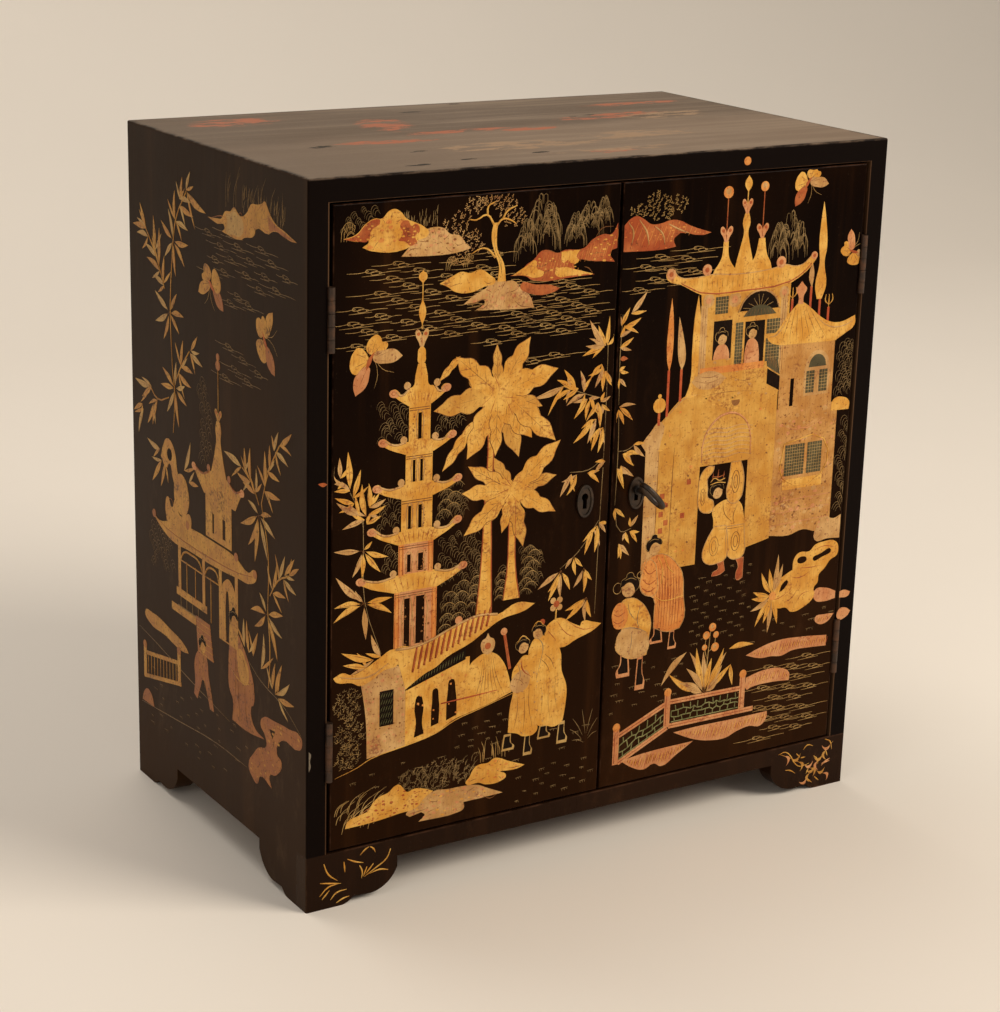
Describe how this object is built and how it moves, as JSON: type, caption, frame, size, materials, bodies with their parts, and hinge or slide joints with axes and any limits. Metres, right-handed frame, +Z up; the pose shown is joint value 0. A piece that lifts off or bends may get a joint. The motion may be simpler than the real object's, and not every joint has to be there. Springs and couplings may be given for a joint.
{
  "type": "table cabinet",
  "caption": "Low lacquered table cabinet on shaped bracket feet, with a pair of inset hinged doors, a cut lock with its key, slide bolts and a fixed inner shelf.",
  "frame": {"origin": "centre of the carcass on the plane that the feet stand on", "axes": "+Z up, the doors face -Y, +X to the right as seen from the front"},
  "size_m": [0.42, 0.2757, 0.449],
  "materials": {
    "lacquer": "worn black lacquer, gloss",
    "plain_wood": "dark stained, matt",
    "iron": "aged and rubbed",
    "steel": "dull",
    "brass": "tarnished"
  },
  "bodies": {
    "carcass": {"left_side": "lacquer", "right_side": "lacquer", "top_front_board": "lacquer", "top_back_board": "lacquer", "front_plinth": "lacquer", "bottom_board": "plain_wood", "shelf": "plain_wood", "back_lower_board": "plain_wood", "back_upper_board": "plain_wood", "foot_block_front_left": "plain_wood", "foot_block_front_right": "plain_wood", "foot_block_back_left": "plain_wood", "foot_block_back_right": "plain_wood", "hinge_frame_leaf_left_upper": "iron", "hinge_frame_leaf_left_lower": "iron", "hinge_frame_leaf_right_upper": "iron", "hinge_frame_leaf_right_lower": "iron", "hinge_pin_left_upper": "iron", "hinge_pin_left_lower": "iron", "hinge_pin_right_upper": "iron", "hinge_pin_right_lower": "iron", "hinge_screws_frame": "steel", "bolt_keeper_top": "brass", "bolt_keeper_bottom": "brass"},
    "left_door": {"left_door_panel": "lacquer", "left_escutcheon": "brass", "hinge_door_leaf_left_upper": "iron", "hinge_door_leaf_left_lower": "iron", "hinge_screws_left_door": "steel", "lock_strike": "brass", "bolt_plate_top": "brass", "bolt_plate_bottom": "brass"},
    "right_door": {"right_door_panel": "lacquer", "right_escutcheon": "brass", "hinge_door_leaf_right_upper": "iron", "hinge_door_leaf_right_lower": "iron", "hinge_screws_right_door": "steel", "lock_plate": "brass", "lock_case": "brass"},
    "key": {"key": "iron"},
    "lock_bolt": {"lock_bolt": "brass"},
    "top_bolt": {"door_bolt_top": "brass"},
    "bottom_bolt": {"door_bolt_bottom": "brass"}
  },
  "joints": [
    {"name": "left_door_swing", "type": "hinge", "parent": "carcass", "child": "left_door", "pos_m": [-0.1952, -0.1256, 0.2357], "axis": [0, 0, -1], "range_deg": [0, 170]},
    {"name": "right_door_swing", "type": "hinge", "parent": "carcass", "child": "right_door", "pos_m": [0.1952, -0.1256, 0.2357], "axis": [0, 0, 1], "range_deg": [0, 170]},
    {"name": "key_turn", "type": "hinge", "parent": "right_door", "child": "key", "pos_m": [0.0224, -0.125, 0.2388], "axis": [0, 1, 0], "range_deg": [0, 83.2]},
    {"name": "lock_bolt_throw", "type": "slide", "parent": "right_door", "child": "lock_bolt", "axis": [-1, 0, 0], "range_m": [0, 0.007]},
    {"name": "top_bolt_slide", "type": "slide", "parent": "left_door", "child": "top_bolt", "axis": [0, 0, 1], "range_m": [0, 0.0085]},
    {"name": "bottom_bolt_slide", "type": "slide", "parent": "left_door", "child": "bottom_bolt", "axis": [0, 0, -1], "range_m": [0, 0.0085]}
  ],
  "couplings": [
    {"joint": "lock_bolt_throw", "follows": "key_turn", "m_per_rad": 0.0048205}
  ]
}
